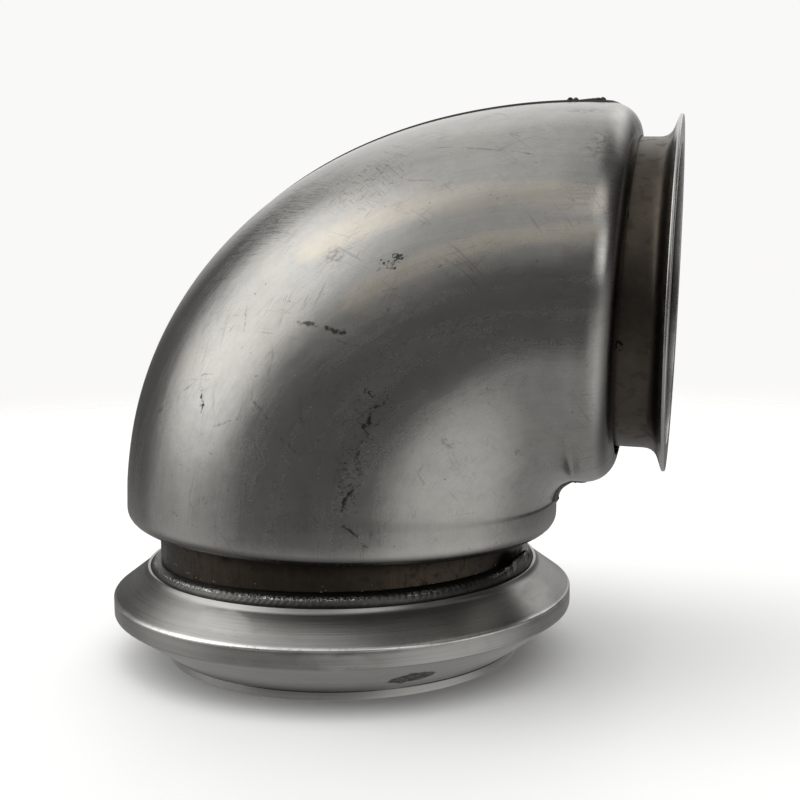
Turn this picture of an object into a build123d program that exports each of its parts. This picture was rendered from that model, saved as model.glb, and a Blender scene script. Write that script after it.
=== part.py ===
from build123d import *
import math
import os

# Double-wall, insulated exhaust pipe elbow with a V-clamp flange at its large end.
# Frame: millimetres. The inlet axis is +Z, the bend lies in the XZ plane and the outlet
# points towards +X. The origin is the centre of the inlet pilot's sealing face.
# "Front" is the -Y half of a split piece and "rear" is its +Y half.

# ---- gas tube -------------------------------------------------------------------------
INLET_TUBE_R = 63.5         # 5 inch tube, outside
OUTLET_TUBE_R = 50.8        # 4 inch tube, outside
TUBE_WALL = 1.65
TURN = 92.33                # degrees from the inlet axis to the outlet axis

# ---- bend: every section lies in a plane through one pivot line, parallel to Y ---------
PIVOT_X = 83.8
PIVOT_Z = 53.4
OUTLET_AXIS_OFFSET = 71.53  # pivot to the outlet axis

# ---- outer shell ----------------------------------------------------------------------
SHELL_WALL = 1.0
SHELL_INLET_R = 74.9
SHELL_OUTLET_R = 62.4
SHELL_THROAT = 8.2          # pivot to the shell's inside corner, all the way round
SHELL_START = 2.08          # degrees, where the shell's straight inlet end stops
SHELL_END = 94.0            # degrees, where its outlet shoulder starts
INLET_END_DEPTH = 10.4      # from the start of the bend down to the shell's flat end
INLET_CORNER_R = 4.6
INLET_MOUTH_R = 64.3
OUTLET_MOUTH_R = 52.5
OUTLET_END_DEPTH = 11.4
SEAM_GAP = 0.12             # half the gap between the edges of two halves
LAP_WIDTH = 4.0             # how far the rear shell laps over the front shell
LAP_LIFT = 0.1              # clearance under the lap
JOGGLE = 2.5                # where the rear shell steps out to form the lap
BEND_STATIONS = 15

# ---- inlet flange ---------------------------------------------------------------------
FLANGE_BORE_R = 59.5
PILOT_R = 62.0
PILOT_H = 2.8
GROOVE = 0.5
RIM_R = 80.1
RIM_LOW_Z = 16.2
RIM_HIGH_Z = 22.1
LIP_R = 68.2
LIP_Z = 31.6
LIP_WALL = 1.0
WELD_SEAT_Z = 30.8
WELD_TOE_Z = 35.5
WELD_CROWN = 0.9
SOCKET_Z = 6.0              # the collar stands on this shoulder inside the flange
FLANGE_SLIP = 0.1
EDGE_BREAK = 0.35

# ---- outlet flange --------------------------------------------------------------------
FACE_DIST = 28.05           # from the end of the bend to the sealing face
FACE_R = 58.2
FACE_RIM = 1.1
FLARE_LENGTH = 6.7          # where the neck starts to flare, before the face
FLARE_MIDDLE = 4.9
FLARE_MIDDLE_RISE = 0.75
CONE_R = 53.4
CONE_DIST = 2.9

# ---- small pieces ---------------------------------------------------------------------
BEAD_H = 0.7
BEAD_HALF = 1.7
CLEARANCE = 0.3
BLANKET_START = 8.0         # degrees round the bend
BLANKET_END = 88.0
BLANKET_GAP = 2.6           # half the gap between the two blanket halves
MESH_H = 3.6
MESH_ROUNDING = 1.0
INLET_MESH_INNER_R = 64.9
INLET_MESH_OUTER_R = 70.2
OUTLET_MESH_OUTER_R = 57.2
OUTLET_MESH_Z = 3.0         # from the end of the gas tube's bend
CROWN_BUTTONS = ((12.5, 1.0), (10.7, 0.9), (2.0, 1.1))      # before the shoulder, radius
CROWN_BEAD = ((9.3, 0.15), (3.4, 0.7))                      # before the shoulder, height
CROWN_BEAD_HALF = 1.2
THROAT_BUTTONS = (12.0, 80.0)                               # degrees
THROAT_BUTTON_R = 0.5
TACK_R = 1.3
INLET_TACK_ANGLES = (172.0, 60.0, -70.0)    # degrees, from the outside of the bend
OUTLET_TACK_ANGLES = (60.0, 105.0, -120.0)
TINY = 0.001
FRONT = 1
REAR = -1


class Bend:
    """A tube bend given by its nearest and farthest distance from the pivot."""

    def __init__(self, start, end, near, far):
        self.start = start
        self.end = end
        self.near = near
        self.far = far

    def limits(self, angle):
        share = min(max((angle - self.start) / (self.end - self.start), 0.0), 1.0)
        blend = math.sin(share * math.pi / 2) ** 2
        near = self.near[0] + (self.near[1] - self.near[0]) * blend
        far = self.far[0] + (self.far[1] - self.far[0]) * blend
        return near, far

    def radius(self, angle):
        near, far = self.limits(angle)
        return (far - near) / 2

    def plane(self, angle):
        """Section plane: local x points away from the pivot, local z along the tube."""
        near, far = self.limits(angle)
        middle = (near + far) / 2
        cosine = math.cos(math.radians(angle))
        sine = math.sin(math.radians(angle))
        centre = (PIVOT_X - middle * cosine, 0, PIVOT_Z + middle * sine)
        return Plane(origin=centre, x_dir=(-cosine, 0, sine), z_dir=(sine, 0, cosine))


GAS = Bend(
    0.0,
    TURN,
    (PIVOT_X - INLET_TUBE_R, OUTLET_AXIS_OFFSET - OUTLET_TUBE_R),
    (PIVOT_X + INLET_TUBE_R, OUTLET_AXIS_OFFSET + OUTLET_TUBE_R),
)
SHELL = Bend(
    SHELL_START,
    SHELL_END,
    (SHELL_THROAT, SHELL_THROAT),
    (SHELL_THROAT + 2 * SHELL_INLET_R, SHELL_THROAT + 2 * SHELL_OUTLET_R),
)
OUTLET_PLANE = GAS.plane(TURN)


def angles(start, end, count=BEND_STATIONS):
    return [start + (end - start) * i / (count - 1) for i in range(count)]


def polar(plane, radius, angle):
    a = math.radians(angle)
    return plane.from_local_coords((radius * math.cos(a), radius * math.sin(a), 0))


def arc(plane, radius, start, end):
    middle = (start + end) / 2
    return Edge.make_three_point_arc(
        polar(plane, radius, start), polar(plane, radius, middle), polar(plane, radius, end)
    )


def line(plane, r0, a0, r1, a1):
    return Edge.make_line(polar(plane, r0, a0), polar(plane, r1, a1))


def span(length, radius):
    """Angle in degrees that a length covers on a circle."""
    return math.degrees(length / radius)


def half_ring(plane, outer, inner, side, gap=SEAM_GAP):
    """Half an annulus; side FRONT or REAR says which half."""
    edge = span(gap, outer)
    a0 = side * edge
    a1 = side * (180 - edge)
    return Wire([
        arc(plane, outer, a0, a1),
        line(plane, outer, a1, inner, a1),
        arc(plane, inner, a1, a0),
        line(plane, inner, a0, outer, a0),
    ])


def lapped_ring(plane, outer, inner):
    """The rear half annulus, with a joggled lip over the front half at both edges."""
    edge = -span(SEAM_GAP, outer)
    low = outer + LAP_LIFT
    high = low + SHELL_WALL
    lip = span(LAP_WIDTH, outer)
    step = -span(JOGGLE, outer)
    step_foot = step - span(SHELL_WALL, outer)
    return Wire([
        arc(plane, inner, edge, -180 - edge),
        line(plane, inner, -180 - edge, low, -180 - edge),
        arc(plane, low, -180 - edge, -180 - lip),
        line(plane, low, -180 - lip, high, -180 - lip),
        arc(plane, high, -180 - lip, -180 - step),
        line(plane, high, -180 - step, outer, -180 - step_foot),
        arc(plane, outer, -180 - step_foot, step_foot),
        line(plane, outer, step_foot, high, step),
        arc(plane, high, step, lip),
        line(plane, high, lip, low, lip),
        arc(plane, low, lip, edge),
        line(plane, low, edge, inner, edge),
    ])


def revolved(plane, face_edges, side=None):
    """Turn a profile, drawn with local x as radius and local z as height, about z."""
    face = Face(Wire(face_edges))
    axis = Axis(plane.origin, plane.z_dir)
    if side is None:
        return Solid.revolve(face, 360, axis)
    half = Solid.revolve(face, 180, axis)
    if side == FRONT:
        return half
    return half.mirror(Plane.XZ)


def profile(plane, points):
    """Closed outline through (radius, height) points; a third value is an arc's middle."""
    places = [plane.from_local_coords((p[0], 0, p[1])) for p in points]
    edges = []
    for i, point in enumerate(points):
        start = places[i]
        end = places[(i + 1) % len(points)]
        if len(point) > 2:
            middle = plane.from_local_coords((point[2][0], 0, point[2][1]))
            edges.append(Edge.make_three_point_arc(start, middle, end))
        else:
            edges.append(Edge.make_line(start, end))
    return edges


def corner_middle(centre_r, centre_z, radius, angle):
    a = math.radians(angle)
    return (centre_r + radius * math.cos(a), centre_z + radius * math.sin(a))


def tube_half(bend, start, end, wall, side):
    sections = []
    for angle in angles(start, end):
        radius = bend.radius(angle)
        sections.append(half_ring(bend.plane(angle), radius, radius - wall, side))
    return Solid.make_loft(sections)


# ---- outer shell ----------------------------------------------------------------------
def shell_inlet_end(side):
    """The shell's short straight end, turned in to a flat ring around the collar."""
    plane = SHELL.plane(SHELL_START)
    outer = SHELL_INLET_R
    inner = outer - SHELL_WALL
    bottom = -INLET_END_DEPTH
    corner = outer - INLET_CORNER_R
    knee_z = bottom + INLET_CORNER_R
    inside_r = INLET_CORNER_R - SHELL_WALL
    points = [
        (INLET_MOUTH_R, bottom),
        (corner, bottom, corner_middle(corner, knee_z, INLET_CORNER_R, -45)),
        (outer, knee_z),
        (outer, 0),
        (inner, 0),
        (inner, knee_z, corner_middle(corner, knee_z, inside_r, -45)),
        (corner, bottom + SHELL_WALL),
        (INLET_MOUTH_R, bottom + SHELL_WALL),
    ]
    return revolved(plane, profile(plane, points), side)


def shell_outlet_end(side):
    """The shell's rounded shoulder, closing in on the outlet neck."""
    plane = SHELL.plane(SHELL_END)
    outer = SHELL_OUTLET_R
    inner = outer - SHELL_WALL
    radius = outer - OUTLET_MOUTH_R
    straight = OUTLET_END_DEPTH - radius
    inside_r = radius - SHELL_WALL
    points = [
        (outer, 0),
        (outer, straight, corner_middle(OUTLET_MOUTH_R, straight, radius, 45)),
        (OUTLET_MOUTH_R, OUTLET_END_DEPTH),
        (OUTLET_MOUTH_R, OUTLET_END_DEPTH - SHELL_WALL,
         corner_middle(OUTLET_MOUTH_R, straight, inside_r, 45)),
        (inner, straight),
        (inner, 0),
    ]
    return revolved(plane, profile(plane, points), side)


def outer_shell_front():
    body = tube_half(SHELL, SHELL_START, SHELL_END, SHELL_WALL, FRONT)
    return body + shell_inlet_end(FRONT) + shell_outlet_end(FRONT)


def outer_shell_rear():
    sections = []
    for angle in angles(SHELL_START, SHELL_END):
        radius = SHELL.radius(angle)
        sections.append(lapped_ring(SHELL.plane(angle), radius, radius - SHELL_WALL))
    return Solid.make_loft(sections) + shell_inlet_end(REAR) + shell_outlet_end(REAR)


# ---- beads, rings and buttons ---------------------------------------------------------
def bead_section(plane, radius, seam_angle, half_width, height):
    """A low crowned bead lying on a circle, centred on one angle."""
    half = span(half_width, radius)
    low = polar(plane, radius, seam_angle - half)
    top = polar(plane, radius + height, seam_angle)
    high = polar(plane, radius, seam_angle + half)
    crown = Edge.make_three_point_arc(low, top, high)
    return Wire([crown, arc(plane, radius, seam_angle + half, seam_angle - half)])


def seam_bead(bend, seam_angle, distance):
    """A weld bead along one seam of a tube bend, stopping short of the end beads."""
    trim = span(BEAD_HALF, distance)
    return Solid.make_loft([
        bead_section(bend.plane(a), bend.radius(a), seam_angle, BEAD_HALF, BEAD_H)
        for a in angles(bend.start + trim, bend.end - trim)
    ])


def ring_bead(plane, radius, height):
    """A weld bead round a tube, centred at a height along the plane's normal."""
    points = [
        (radius, height - BEAD_HALF, (radius + BEAD_H, height)),
        (radius, height + BEAD_HALF),
    ]
    return revolved(plane, profile(plane, points))


def packed_ring(plane, outer, inner, low, high):
    """A ring of rectangular section with rounded outer corners."""
    cut = MESH_ROUNDING * (1 - math.sqrt(0.5))
    points = [
        (inner, low),
        (outer - MESH_ROUNDING, low, (outer - cut, low + cut)),
        (outer, low + MESH_ROUNDING),
        (outer, high - MESH_ROUNDING, (outer - cut, high - cut)),
        (outer - MESH_ROUNDING, high),
        (inner, high),
    ]
    return revolved(plane, profile(plane, points))


def button(bend, angle, seam_angle, lift, radius):
    """A domed weld button on the outside of a bend, lifted off its surface."""
    section = bend.plane(angle)
    foot = polar(section, bend.radius(angle) + lift, seam_angle)
    plane = Plane(origin=foot, x_dir=section.z_dir, z_dir=foot - section.origin)
    return Solid.make_sphere(radius, plane, 0, 90)


def ring_tacks(plane, radius, height, tack_angles, size):
    """Round tack welds spaced round a circle above a plane."""
    tacks = []
    for angle in tack_angles:
        place = polar(plane, radius, angle) + plane.z_dir * height
        tacks.append(Pos(place) * Solid.make_sphere(size))
    return tacks


# ---- gas tube -------------------------------------------------------------------------
def inner_elbow_half(side):
    return tube_half(GAS, GAS.start, GAS.end, TUBE_WALL, side)


def inlet_collar():
    inner = INLET_TUBE_R - TUBE_WALL
    points = [
        (inner, SOCKET_Z),
        (INLET_TUBE_R, SOCKET_Z),
        (INLET_TUBE_R, PIVOT_Z),
        (inner, PIVOT_Z),
    ]
    return revolved(Plane.XY, profile(Plane.XY, points))


# ---- flanges --------------------------------------------------------------------------
def eased(plane, points, corners):
    """Revolve an outline after rounding the corners whose numbers are given."""
    outline = Face(Wire(profile(plane, points)))
    places = [plane.from_local_coords((points[i][0], 0, points[i][1])) for i in corners]
    chosen = [
        vertex for vertex in outline.vertices()
        if min((Vector(*vertex) - place).length for place in places) < TINY
    ]
    rounded = outline.fillet_2d(EDGE_BREAK, chosen)
    return Solid.revolve(rounded, 360, Axis(plane.origin, plane.z_dir))


def inlet_flange():
    """Double-cone flange: a clamp grips both cones and the pilot centres the joint."""
    points = [
        (FLANGE_BORE_R, 0),
        (PILOT_R, 0),
        (PILOT_R, PILOT_H),
        (PILOT_R - GROOVE, PILOT_H),
        (PILOT_R - GROOVE, PILOT_H + GROOVE),
        (PILOT_R + GROOVE, PILOT_H + GROOVE),
        (RIM_R, RIM_LOW_Z),
        (RIM_R, RIM_HIGH_Z),
        (LIP_R, LIP_Z),
        (LIP_R - LIP_WALL, LIP_Z),
        (LIP_R - LIP_WALL, WELD_SEAT_Z),
        (INLET_TUBE_R + FLANGE_SLIP, WELD_SEAT_Z),
        (INLET_TUBE_R + FLANGE_SLIP, SOCKET_Z),
        (FLANGE_BORE_R, SOCKET_Z),
    ]
    return eased(Plane.XY, points, (1, 6, 7, 8))


def flange_weld():
    """Fillet weld between the collar and the flange's upper lip."""
    outer = LIP_R - LIP_WALL
    crown_r = (INLET_TUBE_R + outer) / 2 + WELD_CROWN
    crown_z = (LIP_Z + WELD_TOE_Z) / 2 + WELD_CROWN
    points = [
        (INLET_TUBE_R, WELD_SEAT_Z),
        (outer, WELD_SEAT_Z),
        (outer, LIP_Z, (crown_r, crown_z)),
        (INLET_TUBE_R, WELD_TOE_Z),
    ]
    return revolved(Plane.XY, profile(Plane.XY, points))


def outlet_flange():
    """Neck and thin flared flange in one machined piece."""
    inner = OUTLET_TUBE_R - TUBE_WALL
    flare_start = FACE_DIST - FLARE_LENGTH
    flare_middle = (OUTLET_TUBE_R + FLARE_MIDDLE_RISE, FACE_DIST - FLARE_MIDDLE)
    points = [
        (inner, 0),
        (OUTLET_TUBE_R, 0),
        (OUTLET_TUBE_R, flare_start, flare_middle),
        (CONE_R, FACE_DIST - CONE_DIST),
        (FACE_R, FACE_DIST - FACE_RIM),
        (FACE_R, FACE_DIST),
        (inner, FACE_DIST),
    ]
    return eased(OUTLET_PLANE, points, (4, 5, 6))


# ---- insulation -----------------------------------------------------------------------
def blanket_half(side):
    """Ceramic-fibre blanket between the gas tube and the shell."""
    sections = []
    for angle in angles(BLANKET_START, BLANKET_END):
        outside = SHELL.plane(angle)
        inside = GAS.plane(angle)
        outer = SHELL.radius(angle) - SHELL_WALL - CLEARANCE
        inner = GAS.radius(angle) + CLEARANCE
        outer_edge = span(BLANKET_GAP, outer)
        inner_edge = span(BLANKET_GAP, inner)
        a0, a1 = side * outer_edge, side * (180 - outer_edge)
        b0, b1 = side * inner_edge, side * (180 - inner_edge)
        sections.append(Wire([
            arc(outside, outer, a0, a1),
            Edge.make_line(polar(outside, outer, a1), polar(inside, inner, b1)),
            arc(inside, inner, b1, b0),
            Edge.make_line(polar(inside, inner, b0), polar(outside, outer, a0)),
        ]))
    return Solid.make_loft(sections)


def inlet_mesh_ring():
    """Knitted-wire ring that centres the shell's inlet end on the collar."""
    low = -INLET_END_DEPTH + SHELL_WALL + CLEARANCE
    plane = SHELL.plane(SHELL_START)
    return packed_ring(plane, INLET_MESH_OUTER_R, INLET_MESH_INNER_R, low, low + MESH_H)


def outlet_mesh_ring():
    """Knitted-wire ring that centres the shell's outlet end on the neck."""
    inner = OUTLET_TUBE_R + CLEARANCE
    high = OUTLET_MESH_Z + MESH_H
    return packed_ring(OUTLET_PLANE, OUTLET_MESH_OUTER_R, inner, OUTLET_MESH_Z, high)


# ---- tack welds on the shell ----------------------------------------------------------
def before_shoulder(distance):
    """Bend angle of a place on the outside of the bend, a distance before the shoulder."""
    return SHELL_END - span(distance, SHELL.far[1])


def crown_lap_tacks():
    """Buttons and one short bead on the lap at the outside of the bend."""
    lift = LAP_LIFT + SHELL_WALL
    seam = span(LAP_WIDTH / 2, SHELL_OUTLET_R)
    tacks = []
    for distance, radius in CROWN_BUTTONS:
        tacks.append(button(SHELL, before_shoulder(distance), seam, lift, radius))
    sections = []
    for distance, height in CROWN_BEAD:
        angle = before_shoulder(distance)
        radius = SHELL.radius(angle) + lift
        sections.append(bead_section(SHELL.plane(angle), radius, seam, CROWN_BEAD_HALF, height))
    bead = Solid.make_loft(sections)
    return Compound(tacks + [bead])


def throat_lap_tacks():
    """Buttons on the lap at the inside of the bend."""
    lift = LAP_LIFT + SHELL_WALL
    tacks = []
    for angle in THROAT_BUTTONS:
        seam = 180 - span(LAP_WIDTH / 2, SHELL.radius(angle))
        tacks.append(button(SHELL, angle, seam, lift, THROAT_BUTTON_R))
    return Compound(tacks)


def inlet_tack_welds():
    """Tacks that fix the shell's flat end to the collar."""
    plane = SHELL.plane(SHELL_START)
    radius = (INLET_TUBE_R + INLET_MOUTH_R) / 2
    return Compound(
        ring_tacks(plane, radius, -INLET_END_DEPTH, INLET_TACK_ANGLES, TACK_R)
    )


def outlet_tack_welds():
    """Tacks that fix the shell's mouth to the outlet neck."""
    mouth_z = OUTLET_END_DEPTH + SHELL.plane(SHELL_END).origin.X - OUTLET_PLANE.origin.X
    radius = (OUTLET_TUBE_R + OUTLET_MOUTH_R) / 2
    return Compound(ring_tacks(OUTLET_PLANE, radius, mouth_z, OUTLET_TACK_ANGLES, TACK_R))


def all_parts():
    return {
        "outer_shell_front": outer_shell_front(),
        "outer_shell_rear": outer_shell_rear(),
        "crown_lap_tacks": crown_lap_tacks(),
        "throat_lap_tacks": throat_lap_tacks(),
        "inlet_tack_welds": inlet_tack_welds(),
        "outlet_tack_welds": outlet_tack_welds(),
        "insulation_front": blanket_half(FRONT),
        "insulation_rear": blanket_half(REAR),
        "inlet_mesh_ring": inlet_mesh_ring(),
        "outlet_mesh_ring": outlet_mesh_ring(),
        "inner_elbow_front": inner_elbow_half(FRONT),
        "inner_elbow_rear": inner_elbow_half(REAR),
        "inner_crown_weld": seam_bead(GAS, 0, GAS.far[1]),
        "inner_throat_weld": seam_bead(GAS, 180, GAS.near[0]),
        "inlet_collar": inlet_collar(),
        "collar_weld": ring_bead(Plane.XY, INLET_TUBE_R, PIVOT_Z),
        "inlet_flange": inlet_flange(),
        "flange_weld": flange_weld(),
        "outlet_flange": outlet_flange(),
        "outlet_neck_weld": ring_bead(OUTLET_PLANE, OUTLET_TUBE_R, 0),
    }


def main():
    os.makedirs("parts", exist_ok=True)
    for name, shape in all_parts().items():
        export_step(shape, f"parts/{name}.step")


main()
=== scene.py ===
import math
import random

import bmesh
import bpy
from mathutils import Matrix, Vector, noise


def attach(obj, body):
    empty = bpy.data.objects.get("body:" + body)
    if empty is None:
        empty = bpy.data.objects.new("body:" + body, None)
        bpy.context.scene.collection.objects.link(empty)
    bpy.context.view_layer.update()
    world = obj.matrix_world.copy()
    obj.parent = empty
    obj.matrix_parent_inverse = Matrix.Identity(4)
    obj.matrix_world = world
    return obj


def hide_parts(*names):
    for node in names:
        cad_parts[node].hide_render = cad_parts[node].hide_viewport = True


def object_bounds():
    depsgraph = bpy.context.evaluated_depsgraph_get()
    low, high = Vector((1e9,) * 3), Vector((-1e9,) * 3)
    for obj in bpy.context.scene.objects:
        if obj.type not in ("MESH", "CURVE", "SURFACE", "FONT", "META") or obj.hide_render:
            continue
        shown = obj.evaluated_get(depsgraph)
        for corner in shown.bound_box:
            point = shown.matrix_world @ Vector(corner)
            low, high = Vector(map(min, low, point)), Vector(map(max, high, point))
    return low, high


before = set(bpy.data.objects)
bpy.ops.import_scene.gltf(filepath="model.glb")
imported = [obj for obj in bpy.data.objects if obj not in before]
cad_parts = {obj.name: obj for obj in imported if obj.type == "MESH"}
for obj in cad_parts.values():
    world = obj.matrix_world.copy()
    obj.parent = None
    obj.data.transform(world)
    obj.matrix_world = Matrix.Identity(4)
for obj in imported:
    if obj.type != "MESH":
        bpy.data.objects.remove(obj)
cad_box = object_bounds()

# Insulated double-wall exhaust elbow. Lengths are millimetres until a point is placed.
MM = 0.001
BODY = "root"

# ---- bend: sections lie in planes through one pivot line, parallel to Y ----
PIVOT_X = 83.8
PIVOT_Z = 53.4
TURN = 92.33
INLET_TUBE_R = 63.5
OUTLET_TUBE_R = 50.8
TUBE_WALL = 1.65
OUTLET_AXIS_OFFSET = 71.53
SHELL_WALL = 1.0
SHELL_INLET_R = 74.9
SHELL_OUTLET_R = 62.4
SHELL_THROAT = 8.2
SHELL_START = 2.08
SHELL_END = 94.0
INLET_END_DEPTH = 10.4
INLET_CORNER_R = 4.6
INLET_MOUTH_R = 64.3
OUTLET_MOUTH_R = 52.5
OUTLET_END_DEPTH = 11.4
SEAM_GAP = 0.12
LAP_WIDTH = 4.0
LAP_LIFT = 0.1
JOGGLE = 2.5
# Share of the lap's lift left on the outside of the bend, where it is pressed flat
CROWN_PRESSED = 0.65
# The lap fades in over these degrees and out over these heights of the outlet shoulder
LAP_FADE_IN = 1.5
LAP_FADE_OUT = (0.7, 5.0)

# ---- inlet flange and its weld ----
FLANGE_BORE_R = 59.5
PILOT_R = 62.0
PILOT_H = 2.8
GROOVE = 0.5
RIM_R = 80.1
RIM_LOW_Z = 16.2
RIM_HIGH_Z = 22.1
LIP_R = 68.2
LIP_Z = 31.6
LIP_WALL = 1.0
LIP_FOOT = 1.0
LIP_RISE = 1.4
WELD_SEAT_Z = 30.8
WELD_TOE_Z = 35.5
SOCKET_Z = 6.0
FLANGE_SLIP = 0.1

# ---- outlet flange ----
FACE_DIST = 28.05
FACE_R = 58.2
FACE_RIM = 1.1
FLARE_CORNER = 3.8
FLARE_BLEND = 3.5
NECK_END = 2.6

# ---- small pieces ----
TACK_R = 1.3
CROWN_BUTTONS = ((12.5, 1.0), (10.7, 0.9), (2.0, 1.1))
CROWN_BEAD = (9.3, 3.4)
CROWN_BEAD_HALF = 1.2
CROWN_BEAD_RISE = (0.2, 0.75)
THROAT_BUTTONS = (12.0, 80.0)
THROAT_BUTTON_R = 0.5
INLET_TACK_ANGLES = (172.0, 60.0, -70.0)
OUTLET_TACK_ANGLES = (60.0, 105.0, -120.0)

# ---- UV maps: their step for a degree, and a degree's length at the side of the bend ----
UV_PER_DEGREE = 0.01
ALONG_MM = 1.45
ROUND_MM = 1.22


class Section:
    """A circle's plane: x away from the pivot, y to the front, z along the tube."""

    def __init__(self, centre, x_axis, z_axis):
        self.centre = Vector(centre)
        self.x = Vector(x_axis)
        self.z = Vector(z_axis)
        self.y = self.z.cross(self.x)

    def local(self, radius, angle, height=0.0):
        a = math.radians(angle)
        return Vector((radius * math.cos(a), radius * math.sin(a), height)) * MM

    def point(self, radius, angle, height=0.0):
        return self.matrix() @ self.local(radius, angle, height)

    def matrix(self):
        turned = Matrix((self.x, self.y, self.z)).transposed().to_4x4()
        return Matrix.Translation(self.centre * MM) @ turned


class Bend:
    """A tube bend given by its nearest and farthest distance from the pivot."""

    def __init__(self, start, end, near, far):
        self.start = start
        self.end = end
        self.near = near
        self.far = far

    def limits(self, angle):
        share = min(max((angle - self.start) / (self.end - self.start), 0.0), 1.0)
        blend = math.sin(share * math.pi / 2) ** 2
        near = self.near[0] + (self.near[1] - self.near[0]) * blend
        far = self.far[0] + (self.far[1] - self.far[0]) * blend
        return near, far

    def radius(self, angle):
        near, far = self.limits(angle)
        return (far - near) / 2

    def section(self, angle):
        middle = sum(self.limits(angle)) / 2
        cosine = math.cos(math.radians(angle))
        sine = math.sin(math.radians(angle))
        centre = (PIVOT_X - middle * cosine, 0, PIVOT_Z + middle * sine)
        return Section(centre, (-cosine, 0, sine), (sine, 0, cosine))


GAS = Bend(
    0.0,
    TURN,
    (PIVOT_X - INLET_TUBE_R, OUTLET_AXIS_OFFSET - OUTLET_TUBE_R),
    (PIVOT_X + INLET_TUBE_R, OUTLET_AXIS_OFFSET + OUTLET_TUBE_R),
)
SHELL = Bend(
    SHELL_START,
    SHELL_END,
    (SHELL_THROAT, SHELL_THROAT),
    (SHELL_THROAT + 2 * SHELL_INLET_R, SHELL_THROAT + 2 * SHELL_OUTLET_R),
)
INLET = Section((0, 0, 0), (-1, 0, 0), (0, 0, 1))
OUTLET = GAS.section(TURN)


def span(length, radius):
    """Angle in degrees that a length covers on a circle."""
    return math.degrees(length / radius)


def between(start, end, count):
    return [start + (end - start) * i / (count - 1) for i in range(count)]


def ease(value, low, high):
    """0 below low, 1 above high and a smooth step between them."""
    share = min(max((value - low) / (high - low), 0.0), 1.0)
    return share * share * (3 - 2 * share)


# ---- mesh building ----
def mesh_piece(name, points, faces, uvs, matrix=None, sharp=32.0):
    """An object from points, faces and one UV pair for each corner of each face."""
    mesh = bpy.data.meshes.new(name)
    mesh.from_pydata(points, [], faces)
    layer = mesh.uv_layers.new(name="skin")
    corners = [uv for face in uvs for uv in face]
    for loop, uv in zip(layer.data, corners):
        loop.uv = uv
    shape = bmesh.new()
    shape.from_mesh(mesh)
    bmesh.ops.recalc_face_normals(shape, faces=shape.faces)
    shape.to_mesh(mesh)
    shape.free()
    mesh.shade_smooth()
    mesh.set_sharp_from_angle(angle=math.radians(sharp))
    piece = bpy.data.objects.new(name, mesh)
    bpy.context.collection.objects.link(piece)
    if matrix is not None:
        piece.matrix_world = matrix
    return piece


def grid(rows, columns, loop_rows, loop_columns):
    """Corners of a grid's faces as (row, column); a loop's last cell runs past the end."""
    last_row = rows if loop_rows else rows - 1
    last_column = columns if loop_columns else columns - 1
    return [
        ((i, j), (i, j + 1), (i + 1, j + 1), (i + 1, j))
        for i in range(last_row) for j in range(last_column)
    ]


def sheet_cells(rows, columns):
    """Faces of a bent sheet: a loop of rows, out on one skin and back on the other."""
    cells = grid(rows, columns, True, False)
    for i in range(rows // 2 - 1):
        partner = rows - 1 - i
        for j in (0, columns - 1):
            cells.append(((i, j), (i + 1, j), (partner - 1, j), (partner, j)))
    return cells


def grid_piece(name, rows, columns, place, uv, cells, matrix=None, sharp=32.0):
    points = [place(i, j) for i in range(rows) for j in range(columns)]
    faces = [[(i % rows) * columns + j % columns for i, j in cell] for cell in cells]
    uvs = [[uv(i, j) for i, j in cell] for cell in cells]
    return mesh_piece(name, points, faces, uvs, matrix, sharp)


def finished(piece, material, slot, *nodes):
    """Give a piece its material, hang it on the body and hide the CAD nodes that it stands in for."""
    piece.data.materials.append(material)
    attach(piece, BODY)
    if nodes:
        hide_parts(*nodes)
    return piece


def rounded(corners, step=1.6):
    """Closed outline from (radius, height, fillet) corners, with straight runs divided."""
    outline = []
    count = len(corners)
    for i, (r, h, fillet) in enumerate(corners):
        corner = Vector((r, h))
        before = Vector(corners[i - 1][:2]) - corner
        after = Vector(corners[(i + 1) % count][:2]) - corner
        reach = min(fillet, before.length * 0.45, after.length * 0.45)
        start = corner + before.normalized() * reach
        end = corner + after.normalized() * reach
        shares = between(0.0, 1.0, 6) if reach > 0 else (0.5,)
        for s in shares:
            outline.append(start * (1 - s) ** 2 + corner * 2 * s * (1 - s) + end * s * s)
    divided = []
    for i, start in enumerate(outline):
        end = outline[(i + 1) % len(outline)]
        parts = max(1, round((end - start).length / step))
        divided += [start.lerp(end, k / parts) for k in range(parts)]
    return divided


def lathe(name, section, outline, steps=240, wear=None):
    """Turn a closed outline about a section's axis; wear moves each (radius, height)."""
    lengths = [0.0]
    for i, point in enumerate(outline):
        lengths.append(lengths[-1] + (outline[(i + 1) % len(outline)] - point).length)

    def place(i, j):
        radius, height = outline[i]
        angle = 360 * j / steps
        if wear:
            radius, height = wear(radius, height, angle)
        return section.local(radius, angle, height)

    def uv(i, j):
        return (360 * j / steps * UV_PER_DEGREE, lengths[i] * UV_PER_DEGREE)

    cells = grid(len(outline), steps, True, True)
    return grid_piece(name, len(outline), steps, place, uv, cells, section.matrix())


# ---- node helpers ----
def rgb(red, green, blue):
    return (red, green, blue, 1.0)


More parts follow.
